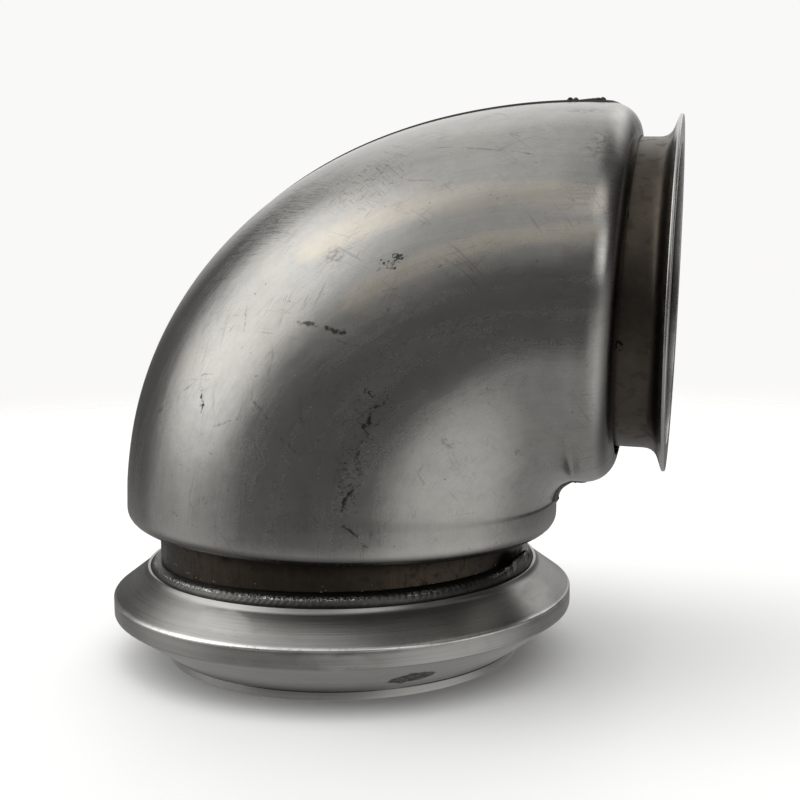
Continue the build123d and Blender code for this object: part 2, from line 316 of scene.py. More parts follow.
class Shader:
    """A node tree with short calls for the nodes used here."""

    def __init__(self, tree):
        self.tree = tree

    def put(self, socket, value):
        if isinstance(value, bpy.types.NodeSocket):
            self.tree.links.new(value, socket)
        else:
            socket.default_value = value

    def node(self, kind, **settings):
        made = self.tree.nodes.new("ShaderNode" + kind)
        for key, value in settings.items():
            setattr(made, key, value)
        return made

    def math(self, operation, first, second=0.0, clamp=False):
        made = self.node("Math", operation=operation, use_clamp=clamp)
        self.put(made.inputs[0], first)
        self.put(made.inputs[1], second)
        return made.outputs[0]

    def add(self, *values):
        total = values[0]
        for value in values[1:]:
            total = self.math("ADD", total, value)
        return total

    def times(self, *values):
        total = values[0]
        for value in values[1:]:
            total = self.math("MULTIPLY", total, value)
        return total

    def most(self, *values):
        total = values[0]
        for value in values[1:]:
            total = self.math("MAXIMUM", total, value)
        return total

    def vector(self, operation, first, second=(0.0, 0.0, 0.0)):
        made = self.node("VectorMath", operation=operation)
        self.put(made.inputs[0], first)
        self.put(made.inputs[1], second)
        single = operation in ("LENGTH", "DOT_PRODUCT", "DISTANCE")
        return made.outputs["Value" if single else "Vector"]

    def scaled(self, vector, factor):
        made = self.node("VectorMath", operation="SCALE")
        self.put(made.inputs[0], vector)
        self.put(made.inputs["Scale"], factor)
        return made.outputs["Vector"]

    def parts(self, vector):
        """The X, Y and Z of a vector."""
        made = self.node("SeparateXYZ")
        self.put(made.inputs[0], vector)
        return made.outputs

    def gap(self, first, second):
        """How far apart two values are."""
        return self.math("ABSOLUTE", self.math("SUBTRACT", first, second))

    def noise(self, vector, scale=1.0, detail=3.0, roughness=0.55):
        made = self.node("TexNoise")
        self.put(made.inputs["Vector"], vector)
        made.inputs["Scale"].default_value = scale
        made.inputs["Detail"].default_value = detail
        made.inputs["Roughness"].default_value = roughness
        return made

    def grain(self, vector, scale=1.0, detail=3.0, roughness=0.55):
        return self.noise(vector, scale, detail, roughness).outputs["Fac"]

    def cells(self, vector, scale):
        made = self.node("TexVoronoi")
        self.put(made.inputs["Vector"], vector)
        made.inputs["Scale"].default_value = scale
        return made.outputs["Distance"]

    def ramp(self, value, low, high, to_low=0.0, to_high=1.0):
        made = self.node("MapRange", interpolation_type="SMOOTHSTEP")
        values = (value, low, high, to_low, to_high)
        for socket, item in zip(made.inputs, values):
            self.put(socket, item)
        return made.outputs["Result"]

    def mix(self, factor, first, second, blend="MIX"):
        made = self.node("Mix", data_type="RGBA", blend_type=blend)
        self.put(made.inputs[0], factor)
        self.put(made.inputs[6], first)
        self.put(made.inputs[7], second)
        return made.outputs[2]

    def warped(self, vector, scale, amount):
        """The vector pushed about by noise."""
        push = self.vector("SUBTRACT", self.noise(vector, scale).outputs["Color"], (0.5, 0.5, 0.5))
        return self.vector("ADD", vector, self.scaled(push, amount))

    def lines(self, vector, turn, stretch, scale, width):
        """Fine broken lines that run along one direction of a flat pattern."""
        rotate = self.node("VectorRotate", rotation_type="Z_AXIS")
        self.put(rotate.inputs["Vector"], vector)
        rotate.inputs["Angle"].default_value = math.radians(turn)
        stretched = self.vector("MULTIPLY", rotate.outputs[0], (scale / stretch, scale, scale))
        crossing = self.gap(self.grain(stretched, 1.0, 2.0), 0.5)
        return self.ramp(crossing, 0.0, width, 1.0, 0.0)


class Metal(Shader):
    """A Principled material; colour, roughness and height are fed at the end."""

    def __init__(self, name, metallic=1.0):
        self.material = bpy.data.materials.new(name)
        self.material.use_nodes = True
        super().__init__(self.material.node_tree)
        self.surface = self.tree.nodes["Principled BSDF"]
        self.surface.inputs["Metallic"].default_value = metallic

    def object_place(self):
        """Place on the piece in millimetres."""
        return self.scaled(self.node("TexCoord").outputs["Object"], 1.0 / MM)

    def skin_uv(self):
        return self.node("UVMap", uv_map="skin").outputs["UV"]

    def sheet_place(self):
        """Place on a bent sheet in millimetres, along and round the bend."""
        scale = (ALONG_MM / UV_PER_DEGREE, ROUND_MM / UV_PER_DEGREE, 0.0)
        return self.vector("MULTIPLY", self.skin_uv(), scale)

    def turned_place(self, squeeze):
        """Pattern space of a turned piece: long round the axis, fine along the outline."""
        spot = self.parts(self.object_place())
        joined = self.node("CombineXYZ")
        self.put(joined.inputs[0], self.times(spot[0], squeeze))
        self.put(joined.inputs[1], self.times(spot[1], squeeze))
        self.put(joined.inputs[2], self.times(self.parts(self.skin_uv())[1], 1.0 / UV_PER_DEGREE))
        return joined.outputs[0]

    def finish(self, colour, roughness, height, depth):
        """Feed the shader; height in 0 to 1 stands depth millimetres tall."""
        self.put(self.surface.inputs["Base Color"], colour)
        self.put(self.surface.inputs["Roughness"], roughness)
        bump = self.node("Bump")
        bump.inputs["Strength"].default_value = 1.0
        bump.inputs["Distance"].default_value = depth * MM
        self.put(bump.inputs["Height"], height)
        self.put(self.surface.inputs["Normal"], bump.outputs["Normal"])
        return self.material


def on_sheet(place):
    """A (degrees along the bend, degrees round it) place in millimetres."""
    return Vector((place[0] * ALONG_MM, place[1] * ROUND_MM, 0.0))


def stroke(shader, place, start, end, width):
    """A soft line between two places on the sheet."""
    foot = on_sheet(start)
    run = on_sheet(end) - foot
    offset = shader.vector("SUBTRACT", place, foot)
    reach = shader.vector("DOT_PRODUCT", offset, run)
    share = shader.math("DIVIDE", reach, run.length_squared, clamp=True)
    distance = shader.vector("DISTANCE", offset, shader.scaled(run, share))
    return shader.ramp(distance, width * 0.35, width, 1.0, 0.0)


def broken(shader, soft, pattern, level):
    """A soft mask torn up by noise, so that it ends in blots and gaps."""
    return shader.ramp(shader.times(soft, pattern), level, level + 0.08)


def patch(shader, place, centre, size):
    """A soft oval, size in millimetres along and round the bend."""
    offset = shader.vector("SUBTRACT", place, on_sheet(centre))
    spread = shader.vector("DIVIDE", offset, (size[0], size[1], 1.0))
    return shader.ramp(shader.vector("LENGTH", spread), 0.35, 1.0, 1.0, 0.0)


# ---- marks on the shell, in degrees along the bend and round it from its outside ----
SIDE = 90


def drawn_scratches(seed, count, length, width):
    """Seeded scratches on the side that is handled most: (start, end, width)."""
    draw = random.Random(seed)
    marks = []
    for _ in range(count):
        start = (draw.uniform(SHELL_START, SHELL_END), draw.uniform(20, 120))
        turn = draw.uniform(0, 2 * math.pi)
        reach = draw.uniform(0.4, 1.0) * length
        end = (start[0] + reach * math.cos(turn), start[1] + reach * math.sin(turn))
        marks.append((start, end, width))
    return marks


def drawn_blots(seed, count, size):
    """Seeded small dirty places: (centre, size)."""
    draw = random.Random(seed)
    marks = []
    for _ in range(count):
        centre = (draw.uniform(SHELL_START, SHELL_END), draw.uniform(15, 140))
        marks.append((centre, (draw.uniform(0.5, 1.0) * size, draw.uniform(0.5, 1.0) * size)))
    return marks


# The marks that stand out are placed to the nearest five degrees.
UPPER_STRAW = ((50, 55), (95, 60))
LOWER_STRAW = ((50, 75), (95, 70))
SIDE_TRAIL = ((40, SIDE + 10), (10, SIDE + 15))
FOOT_TRAIL = ((5, SIDE + 15), (0, SIDE + 20))
UPPER_TRAIL = ((40, 70), (45, 80))
UPPER_SCUFF = (60, 70)
SIDE_SCUFF = (40, SIDE + 5)
INLET_SCUFF = (20, 60)
# A painted dark reflection on the top of the outlet shoulder
SHOULDER_DARK_REFLECTION = (95, 40)
RUBBED = (45, 30)
CROSSED = (60, 40)
CROSS_CUTS = (
    ((60, 40), (70, 50)),
    ((70, 35), (85, 45)),
    ((25, 75), (20, 90)),
    ((15, 45), (25, 60)),
)
# Darkening starts and is full at these degrees along the shell's UV map, at its two ends: darker at the
# inlet end's bottom, painted shade on the outlet shoulder
DARK_FOOT = (-4.2, -1.6)
SHADED_MOUTH = (98.0, 100.5)


def shell_steel():
    """Pressed stainless sheet: soft streaks along the bend, heat tint, handling marks, painted shade
    and a painted dark reflection at the outlet shoulder.
    """
    m = Metal("shell_steel")
    sheet = m.sheet_place()
    solid = m.object_place()
    bent = m.warped(sheet, 0.12, 3.0)
    ragged = m.warped(m.warped(sheet, 0.09, 9.0), 0.6, 1.8)
    streaks = m.grain(m.vector("MULTIPLY", sheet, (0.015, 0.10, 1.0)), 1.0, 4.0, 0.6)
    hairlines = m.grain(m.vector("MULTIPLY", sheet, (0.05, 2.2, 1.0)), 1.0, 3.0, 0.65)
    clouds = m.grain(solid, 0.035, 4.0, 0.6)
    mottle = m.grain(solid, 0.22, 5.0, 0.68)
    grit = m.grain(solid, 2.2, 3.0, 0.7)
    blots = m.grain(sheet, 0.55, 4.0, 0.68)
    specks = m.grain(sheet, 1.1, 4.0, 0.7)
    straw = m.most(stroke(m, bent, *UPPER_STRAW, 7.0), stroke(m, bent, *LOWER_STRAW, 5.0))
    straw = m.times(straw, m.ramp(streaks, 0.3, 0.7, 0.5, 1.0))
    scuffs = m.most(
        patch(m, ragged, UPPER_SCUFF, (9, 6)),
        patch(m, ragged, SIDE_SCUFF, (10, 5)),
        patch(m, ragged, INLET_SCUFF, (6, 8)),
    )
    scuffs = broken(m, scuffs, m.most(specks, blots), 0.48)
    lines = m.most(
        stroke(m, ragged, *SIDE_TRAIL, 0.85),
        stroke(m, ragged, *FOOT_TRAIL, 0.8),
        stroke(m, ragged, *UPPER_TRAIL, 0.8),
    )
    lines = m.times(lines, m.ramp(blots, 0.34, 0.46))
    ridge = m.gap(m.grain(ragged, 0.17, 3.0), 0.5)
    cracks = m.times(m.ramp(ridge, 0.0, 0.016, 1.0, 0.0), stroke(m, bent, *SIDE_TRAIL, 6.0))
    crumbs = broken(m, stroke(m, ragged, *SIDE_TRAIL, 3.0), specks, 0.56)
    trails = m.most(lines, crumbs, m.times(cracks, m.ramp(specks, 0.36, 0.5)))
    # Dark smudges, with a painted dark reflection on the outlet shoulder
    smudges_and_dark_reflection = m.most(
        patch(m, bent, SHOULDER_DARK_REFLECTION, (5, 10)),
        *(patch(m, bent, centre, size) for centre, size in drawn_blots(7, 6, 6)),
    )
    smudges_and_dark_reflection = m.times(smudges_and_dark_reflection, m.ramp(blots, 0.42, 0.66))
    cuts = m.most(
        *(stroke(m, bent, start, end, 0.4) for start, end in CROSS_CUTS),
        *(stroke(m, bent, start, end, width) for start, end, width in drawn_scratches(12, 7, 14, 0.35)),
    )
    cuts = m.times(cuts, m.ramp(blots, 0.38, 0.60))
    rubs = m.times(patch(m, bent, RUBBED, (22, 24)), m.lines(sheet, -62, 16, 1.3, 0.045))
    crossed = m.times(
        patch(m, bent, CROSSED, (15, 15)),
        m.most(m.lines(sheet, -75, 14, 1.1, 0.02), m.lines(sheet, 48, 14, 1.0, 0.02)),
    )
    hairs = m.most(
        m.lines(sheet, 3, 22, 0.5, 0.012),
        m.lines(sheet, 38, 18, 0.3, 0.010),
        m.lines(sheet, -64, 18, 0.28, 0.010),
    )
    hairs = m.times(hairs, m.ramp(m.grain(sheet, 0.07), 0.45, 0.62))
    dirt = m.ramp(m.grain(solid, 0.55, 2.0, 0.7), 0.70, 0.76)
    along = m.times(m.parts(m.skin_uv())[0], 1 / UV_PER_DEGREE)
    # Darker at the inlet end's bottom, and painted shade on the outlet shoulder's last turn
    ends = m.most(m.ramp(along, *DARK_FOOT, 1.0, 0.0), m.ramp(along, *SHADED_MOUTH))

    colour = m.mix(streaks, rgb(0.33, 0.325, 0.315), rgb(0.46, 0.455, 0.44))
    colour = m.mix(m.ramp(mottle, 0.35, 0.7, 0.0, 0.3), colour, rgb(0.27, 0.262, 0.25))
    colour = m.mix(m.times(m.ramp(hairlines, 0.35, 0.7), 0.25), colour, rgb(0.26, 0.255, 0.245))
    colour = m.mix(m.ramp(clouds, 0.35, 0.7, 0.0, 0.4), colour, rgb(0.42, 0.40, 0.365))
    colour = m.mix(m.times(straw, 0.35), colour, rgb(0.64, 0.555, 0.42))
    colour = m.mix(m.times(rubs, 0.8), colour, rgb(0.12, 0.116, 0.11))
    colour = m.mix(m.times(crossed, 0.7), colour, rgb(0.14, 0.135, 0.13))
    colour = m.mix(m.times(hairs, 0.45), colour, rgb(0.18, 0.175, 0.17))
    colour = m.mix(m.times(cuts, 0.6), colour, rgb(0.11, 0.107, 0.10))
    # Dark smudges and the painted dark reflection on the outlet shoulder
    colour = m.mix(m.times(smudges_and_dark_reflection, 0.55), colour, rgb(0.11, 0.10, 0.085))
    colour = m.mix(m.times(dirt, 0.6), colour, rgb(0.09, 0.083, 0.075))
    colour = m.mix(m.times(scuffs, 0.9), colour, rgb(0.03, 0.028, 0.025))
    colour = m.mix(m.times(trails, 0.8), colour, rgb(0.02, 0.018, 0.016))
    # Darker inlet end bottom, and painted shade at the outlet shoulder's end
    colour = m.mix(m.times(ends, 0.85), colour, rgb(0.03, 0.027, 0.024))

    worn = m.add(m.times(scuffs, 0.08), m.times(smudges_and_dark_reflection, 0.08))
    rough = m.add(m.ramp(streaks, 0.3, 0.7, 0.18, 0.26), m.times(grit, 0.08), worn)
    height = m.add(
        m.times(m.grain(solid, 0.16, 2.0), 0.5),
        m.times(hairlines, 0.05),
        m.times(grit, 0.035),
        m.times(m.add(cuts, hairs), -0.04),
    )
    return m.finish(colour, rough, height, 0.12)


# Marks on the inlet flange: (angle, radius, height) places and sizes in millimetres
CHIPPED = (123, 69.0, 8.5)
CHIPPED_SIZE = (11.0, 11.0, 3.6)
POLISHED = ((165, 74.0, 27.0), (75, 74.0, 27.0), (104, 80.0, 19.0))
POLISHED_SIZE = (13.0, 13.0, 4.0)


def blot(shader, place, where, size):
    """A soft oval round a (angle, radius, height) place of a turned piece."""
    angle, radius, height = where
    centre = INLET.local(radius, angle, height) / MM
    spread = shader.vector("DIVIDE", shader.vector("SUBTRACT", place, centre), size)
    return shader.ramp(shader.vector("LENGTH", spread), 0.4, 1.0, 1.0, 0.0)


def flange_steel():
    """Turned steel: fine rings, worn bright patches, a painted highlight along the polished rim crest
    and one dark chipped place.
    """
    m = Metal("flange_steel")
    rings = m.grain(m.turned_place(0.012), 1.9, 4.0, 0.7)
    bands = m.grain(m.turned_place(0.03), 0.35, 3.0, 0.6)
    solid = m.object_place()
    clouds = m.grain(solid, 0.06, 5.0, 0.65)
    torn = m.grain(solid, 0.45, 5.0, 0.72)
    chips = broken(m, blot(m, m.warped(solid, 0.2, 5.0), CHIPPED, CHIPPED_SIZE), torn, 0.24)
    bright = m.most(*(blot(m, m.warped(solid, 0.1, 8.0), p, POLISHED_SIZE) for p in POLISHED))
    bright = m.times(bright, m.ramp(rings, 0.3, 0.65, 0.3, 1.0))
    flecks = m.ramp(m.grain(solid, 0.8, 4.0, 0.7), 0.68, 0.74)
    colour = m.mix(bands, rgb(0.25, 0.245, 0.235), rgb(0.40, 0.395, 0.38))
    colour = m.mix(m.times(m.ramp(rings, 0.35, 0.7), 0.25), colour, rgb(0.52, 0.515, 0.50))
    colour = m.mix(m.ramp(clouds, 0.45, 0.7, 0.0, 0.4), colour, rgb(0.26, 0.25, 0.235))
    colour = m.mix(m.times(bright, 0.4), colour, rgb(0.80, 0.79, 0.77))
    # Painted highlight along the rim's top edge, over a lighter polished edge
    off_edge = m.gap(m.parts(solid)[2], RIM_HIGH_Z)
    crest_polish_and_highlight = m.times(m.ramp(off_edge, 0.3, 0.8, 1.0, 0.0), m.ramp(torn, 0.35, 0.5, 0.6, 1.0))
    colour = m.mix(m.times(crest_polish_and_highlight, 0.85), colour, rgb(0.88, 0.87, 0.85))
    colour = m.mix(m.times(flecks, 0.5), colour, rgb(0.14, 0.13, 0.12))
    pit = m.mix(m.ramp(torn, 0.42, 0.58), rgb(0.01, 0.01, 0.01), rgb(0.13, 0.13, 0.12))
    colour = m.mix(m.times(chips, 0.92), colour, pit)
    rough = m.add(m.ramp(bright, 0.0, 1.0, 0.25, 0.42), m.times(chips, 0.25), m.times(rings, 0.06))
    height = m.add(m.times(rings, 0.15), m.times(chips, -0.4), m.times(flecks, -0.15))
    return m.finish(colour, rough, height, 0.10)


# The shell's inlet end leans; its height at the axis, and the top and reach down of the painted shade
# under it on the collar
SHELL_SLOPE = math.tan(math.radians(SHELL_START))
SHELL_FOOT = PIVOT_Z + PIVOT_X * SHELL_SLOPE - INLET_END_DEPTH
SHADE_TOP = SHELL_FOOT + 1.5
SHADE_REACH = 6.0


def burnt_steel():
    """Bare tube turned brown by heat, with streaks along its axis, soot and painted shade under the
    shell.
    """
    m = Metal("burnt_steel")
    solid = m.object_place()
    along = m.vector("MULTIPLY", solid, (0.9, 0.9, 0.07))
    streaks = m.grain(along, 1.0, 4.0, 0.65)
    clouds = m.grain(solid, 0.10, 4.0, 0.6)
    soot = m.ramp(m.grain(solid, 0.22, 5.0, 0.7), 0.50, 0.66)
    grit = m.grain(solid, 2.6, 3.0, 0.7)
    colour = m.mix(streaks, rgb(0.026, 0.020, 0.015), rgb(0.080, 0.062, 0.047))
    colour = m.mix(m.ramp(clouds, 0.4, 0.7, 0.0, 0.6), colour, rgb(0.055, 0.048, 0.041))
    colour = m.mix(m.times(soot, 0.5), colour, rgb(0.04, 0.034, 0.028))
    spot = m.parts(solid)
    # Painted shade on the collar under the shell's leaning inlet end, nearly black at the top
    level = m.add(spot[2], m.times(spot[0], -SHELL_SLOPE), m.times(clouds, 3.0))
    shaded = m.ramp(level, SHADE_TOP - SHADE_REACH, SHADE_TOP)
    colour = m.mix(m.times(shaded, 0.92), colour, rgb(0.012, 0.010, 0.008))
    rough = m.add(m.ramp(clouds, 0.3, 0.7, 0.30, 0.42), m.times(soot, 0.25))
    height = m.add(m.times(grit, 0.3), m.times(streaks, 0.3), m.times(soot, 0.2))
    return m.finish(colour, rough, height, 0.06)


def faced_steel():
    """The outlet neck and flange: brown neck, brighter towards its machined face."""
    m = Metal("faced_steel")
    solid = m.object_place()
    rings = m.grain(m.turned_place(0.015), 2.8, 3.0, 0.7)
    clouds = m.grain(solid, 0.12, 4.0, 0.65)
    soot = m.ramp(m.grain(solid, 0.25, 3.0, 0.6), 0.50, 0.66)
    neck = m.ramp(m.parts(solid)[2], FACE_DIST - NECK_END, FACE_DIST - FACE_RIM, 1.0, 0.0)
    brown = m.mix(clouds, rgb(0.052, 0.043, 0.034), rgb(0.125, 0.105, 0.087))
    brown = m.mix(m.times(soot, 0.35), brown, rgb(0.05, 0.042, 0.035))
    clean = m.mix(rings, rgb(0.40, 0.39, 0.37), rgb(0.54, 0.53, 0.51))
    clean = m.mix(m.times(m.ramp(clouds, 0.5, 0.7), 0.35), clean, rgb(0.28, 0.25, 0.22))
    colour = m.mix(neck, clean, brown)
    rough = m.add(m.ramp(neck, 0.0, 1.0, 0.24, 0.36), m.times(soot, 0.12))
    height = m.add(m.times(rings, 0.12), m.times(m.grain(solid, 2.4), 0.04))
    return m.finish(colour, rough, height, 0.06)


def weld_metal(name, dark, light, sparkle):
    """Weld metal between two colours, with small bright points."""
    m = Metal(name)
    solid = m.object_place()
    clouds = m.grain(solid, 0.5, 4.0, 0.65)
    points = m.ramp(m.grain(solid, 2.1, 3.0, 0.6), 0.60, 0.68)
    colour = m.mix(m.ramp(clouds, 0.35, 0.7), dark, light)
    colour = m.mix(m.times(points, sparkle), colour, rgb(0.75, 0.74, 0.71))
    rough = m.ramp(points, 0.0, 1.0, 0.42, 0.22)
    height = m.add(m.grain(solid, 1.4, 4.0, 0.7), m.times(points, 0.4))
    return m.finish(colour, rough, height, 0.12)


# Rows of points across the big bead, and the row that shines
BEAD_POINTS = 17
BRIGHT_ROW = 9.0


def bead_metal():
    """The big bead: burnt grey, with a row of bright ripple edges along its middle."""
    m = Metal("bead_metal")
    solid = m.object_place()
    row = m.gap(m.times(m.parts(m.skin_uv())[1], 1 / UV_PER_DEGREE), BRIGHT_ROW)
    clouds = m.grain(solid, 0.35, 4.0, 0.65)
    fine = m.grain(solid, 1.5, 4.0, 0.7)
    curls = m.gap(m.grain(solid, 0.9, 2.0), 0.5)
    points = m.times(m.ramp(row, 0.8, 2.8, 1.0, 0.0), m.ramp(curls, 0.01, 0.05, 1.0, 0.0))
    points = m.times(points, m.ramp(m.grain(solid, 0.05, 2.0), 0.40, 0.56, 0.15, 1.0))
    edge = m.ramp(row, 5.0, 8.0)
    colour = m.mix(clouds, rgb(0.05, 0.049, 0.046), rgb(0.17, 0.167, 0.16))
    colour = m.mix(m.times(edge, 0.8), colour, rgb(0.018, 0.016, 0.014))
    colour = m.mix(m.times(points, 0.95), colour, rgb(0.88, 0.87, 0.84))
    rough = m.ramp(points, 0.0, 1.0, 0.38, 0.20)
    return m.finish(colour, rough, m.add(fine, m.times(points, 0.5)), 0.08)


def soot_steel():
    """Inside of the gas tube: matt soot over brown steel, streaked along the flow."""
    m = Metal("soot_steel", metallic=0.55)
    solid = m.object_place()
    clouds = m.grain(solid, 0.06, 5.0, 0.65)
    flakes = m.ramp(m.grain(solid, 0.45, 5.0, 0.7), 0.55, 0.66)
    colour = m.mix(clouds, rgb(0.030, 0.026, 0.022), rgb(0.16, 0.13, 0.10))
    colour = m.mix(m.times(flakes, 0.5), colour, rgb(0.26, 0.22, 0.18))
    rough = m.ramp(clouds, 0.3, 0.7, 0.75, 0.50)
    height = m.add(m.grain(solid, 1.1, 4.0, 0.7), m.times(flakes, -0.5))
    return m.finish(colour, rough, height, 0.12)


def fibre_felt():
    """Ceramic fibre: pale matted threads in every direction."""
    m = Metal("fibre_felt", metallic=0.0)
    solid = m.warped(m.object_place(), 0.8, 1.5)
    threads = m.most(
        m.lines(solid, 20, 12, 1.6, 0.06),
        m.lines(solid, -50, 12, 1.5, 0.06),
        m.lines(solid, 85, 12, 1.4, 0.06),
    )
    clouds = m.grain(solid, 0.12, 4.0)
    colour = m.mix(clouds, rgb(0.52, 0.49, 0.44), rgb(0.74, 0.72, 0.67))
    colour = m.mix(m.times(threads, 0.5), colour, rgb(0.84, 0.82, 0.78))
    rough = m.ramp(clouds, 0.3, 0.7, 0.85, 0.95)
    return m.finish(colour, rough, m.add(threads, clouds), 0.35)


def knitted_wire():
    """Pressed wire mesh: crossing bright strands over dark hollows."""
    m = Metal("knitted_wire")
    solid = m.warped(m.object_place(), 0.5, 1.0)
    strands = m.most(
        m.lines(solid, 35, 6, 1.8, 0.08),
        m.lines(solid, -35, 6, 1.8, 0.08),
    )
    hollows = m.cells(solid, 1.1)
    colour = m.mix(strands, rgb(0.07, 0.065, 0.06), rgb(0.60, 0.58, 0.54))
    rough = m.ramp(hollows, 0.1, 0.6, 0.30, 0.48)
    return m.finish(colour, rough, m.add(strands, m.times(hollows, 0.4)), 0.45)


# ---- outer shell ----
BEND_STEPS = 110
CORNER_STEPS = 8
SHOULDER_STEPS = 14
DENT = 0.28
SMALL_DENT = 0.06
WRINKLE = 0.10
SIDE_LEAN = 0.9
LEAN_START = -8.0
LEAN_DEEPEST = 4.0


def shell_rows(inset):
    """(bend angle, height, radius, UV angle) along one skin, from the inlet end on."""
    centre_r = SHELL_INLET_R - INLET_CORNER_R
    knee = INLET_CORNER_R - INLET_END_DEPTH
    corner = INLET_CORNER_R - inset
    rows = []
    for radius in between(INLET_MOUTH_R, centre_r, 5)[:-1]:
        rows.append((SHELL_START, knee - corner, radius))
    for turn in between(0, 90, CORNER_STEPS):
        a = math.radians(turn)
        rows.append((SHELL_START, knee - corner * math.cos(a), centre_r + corner * math.sin(a)))
    rows.append((SHELL_START, knee / 2, SHELL_INLET_R - inset))
    for angle in between(SHELL_START, SHELL_END, BEND_STEPS):
        rows.append((angle, 0.0, SHELL.radius(angle) - inset))
    shoulder = SHELL_OUTLET_R - OUTLET_MOUTH_R
    straight = OUTLET_END_DEPTH - shoulder
    for turn in between(0, 90, SHOULDER_STEPS):
        a = math.radians(turn)
        reach = shoulder - inset
        rows.append((SHELL_END, straight + reach * math.sin(a), OUTLET_MOUTH_R + reach * math.cos(a)))
    return rows


def dent(angle, phi):
    """How far hand work has pushed the sheet in, in millimetres, never out."""
    soft = noise.noise(Vector((angle * 0.05, phi * 0.04, 3.0)))
    small = noise.noise(Vector((angle * 0.16, phi * 0.11, 8.0)))
    depth = DENT * (0.5 + 0.5 * soft) + SMALL_DENT * (0.5 + 0.5 * small)
    near_throat = ease(abs(phi), 140, 160) * ease(angle, 55, 75)
    wrinkle = 0.5 + 0.5 * math.sin(math.radians(angle * 16 + abs(phi) * 6))
    quiet_ends = ease(angle, SHELL_START, 8) * (1 - ease(angle, 75, SHELL_END))
    return (depth + WRINKLE * near_throat * wrinkle) * quiet_ends


def side_lean(angle, height, phi):
    """How far the sides lean in, in millimetres, where they meet the outlet shoulder."""
    past = (angle - SHELL_END) * ALONG_MM + height
    shape = ease(past, LEAN_START, LEAN_DEEPEST) * (1 - ease(past, LEAN_DEEPEST, OUTLET_END_DEPTH))
    return SIDE_LEAN * shape * math.sin(math.radians(phi)) ** 2


def half_phi(radius, share):
    """Angle at a share of the way round one half, with the seam's gap at both edges."""
    edge = span(SEAM_GAP, radius)
    return edge + (180 - 2 * edge) * share


# Columns of a lap, in millimetres past the seam, from its free edge to the joggle's foot
LAP_STEPS = (LAP_WIDTH, LAP_WIDTH - 0.15, 2.0, 0.0, -1.2, -JOGGLE, -2.75, -3.0, -3.25, -3.5)
FRONT_COLUMNS = 121
REAR_COLUMNS = 131


def lap_fade(angle, height):
    """1 where the rear half laps over the front half, 0 at the shell's two ends."""
    inlet = ease(angle, SHELL_START, SHELL_START + LAP_FADE_IN)
    return inlet * (1 - ease(height, *LAP_FADE_OUT))


def rear_place(radius, fade, k):
    """(phi, lift) of column k on the rear half, from the crown lap to the throat lap."""
    steps = len(LAP_STEPS)
    if k < steps or k >= REAR_COLUMNS - steps:
        step = LAP_STEPS[k if k < steps else REAR_COLUMNS - 1 - k]
        tucked = min(step, -SEAM_GAP)
        reach = tucked + (step - tucked) * fade
        pressed = CROWN_PRESSED if k < steps else 1.0
        joggled = 1 - ease(-step, JOGGLE, -LAP_STEPS[-1])
        lift = joggled * (LAP_LIFT + SHELL_WALL) * fade * pressed
        phi = span(reach, radius)
        return (phi if k < steps else -180 - phi), lift
    first = span(LAP_STEPS[-1], radius)
    share = (k - steps + 1) / (REAR_COLUMNS - 2 * steps + 1)
    return first + (-180 - 2 * first) * share, 0.0


def shell_half(name, count, column):
    """One pressed half with its thickness; column gives (phi, lift) of a point."""
    outer = shell_rows(0.0)
    rows = outer + shell_rows(SHELL_WALL)[::-1]

    def spot(i, j):
        row = i % len(rows)
        angle, height, radius = rows[row]
        skin = outer[min(row, len(rows) - 1 - row)]
        phi, lift = column(skin[2], lap_fade(skin[0], skin[1]), j)
        return angle, height, radius, phi, lift

    def place(i, j):
        angle, height, radius, phi, lift = spot(i, j)
        pressed = dent(angle, phi) + side_lean(angle, height, phi)
        return SHELL.section(angle).point(radius + lift - pressed, phi, height)

    def uv(i, j):
        angle, height, _, phi, _ = spot(i, j)
        return ((angle + height / ALONG_MM) * UV_PER_DEGREE, phi * UV_PER_DEGREE)

    return grid_piece(name, len(rows), count, place, uv, sheet_cells(len(rows), count))


def make_shell(steel):
    front = shell_half(
        "shell_front", FRONT_COLUMNS,
        lambda radius, fade, k: (half_phi(radius, k / (FRONT_COLUMNS - 1)), 0.0),
    )
    rear = shell_half("shell_rear", REAR_COLUMNS, rear_place)
    finished(front, steel, "shell_steel", "outer_shell_front")
    finished(rear, steel, "shell_steel", "outer_shell_rear")


# ---- gas tube ----
TUBE_STEPS = 61


def tube_half(name, side):
    """One half of the inner elbow with its wall; side is 1 for the front, -1 for the rear."""
    outer = [(a, GAS.radius(a)) for a in between(GAS.start, GAS.end, TUBE_STEPS)]
    rows = outer + [(a, radius - TUBE_WALL) for a, radius in outer[::-1]]

    def phi(radius, j):
        return side * half_phi(radius, j / (TUBE_STEPS - 1))

    def place(i, j):
        angle, radius = rows[i % len(rows)]
        return GAS.section(angle).point(radius, phi(GAS.radius(angle), j))

    def uv(i, j):
        angle, radius = rows[i % len(rows)]
        return (angle * UV_PER_DEGREE, phi(radius, j) * UV_PER_DEGREE)

    cells = sheet_cells(len(rows), TUBE_STEPS)
    return grid_piece(name, len(rows), TUBE_STEPS, place, uv, cells)


def make_gas_tube(soot, burnt):
    finished(tube_half("gas_elbow_front", 1), soot, "tube_steel", "inner_elbow_front")
    finished(tube_half("gas_elbow_rear", -1), soot, "tube_steel", "inner_elbow_rear")
    inner = INLET_TUBE_R - TUBE_WALL
    outline = rounded([
        (inner, SOCKET_Z, 0.2),
        (INLET_TUBE_R, SOCKET_Z, 0.2),
        (INLET_TUBE_R, PIVOT_Z, 0.2),
        (inner, PIVOT_Z, 0.2),
    ])
    collar = lathe("collar", INLET, outline)
    finished(collar, burnt, "tube_steel", "inlet_collar")


# ---- flanges ----
DING_REACH = 1.2
DING_DEPTH = 0.35


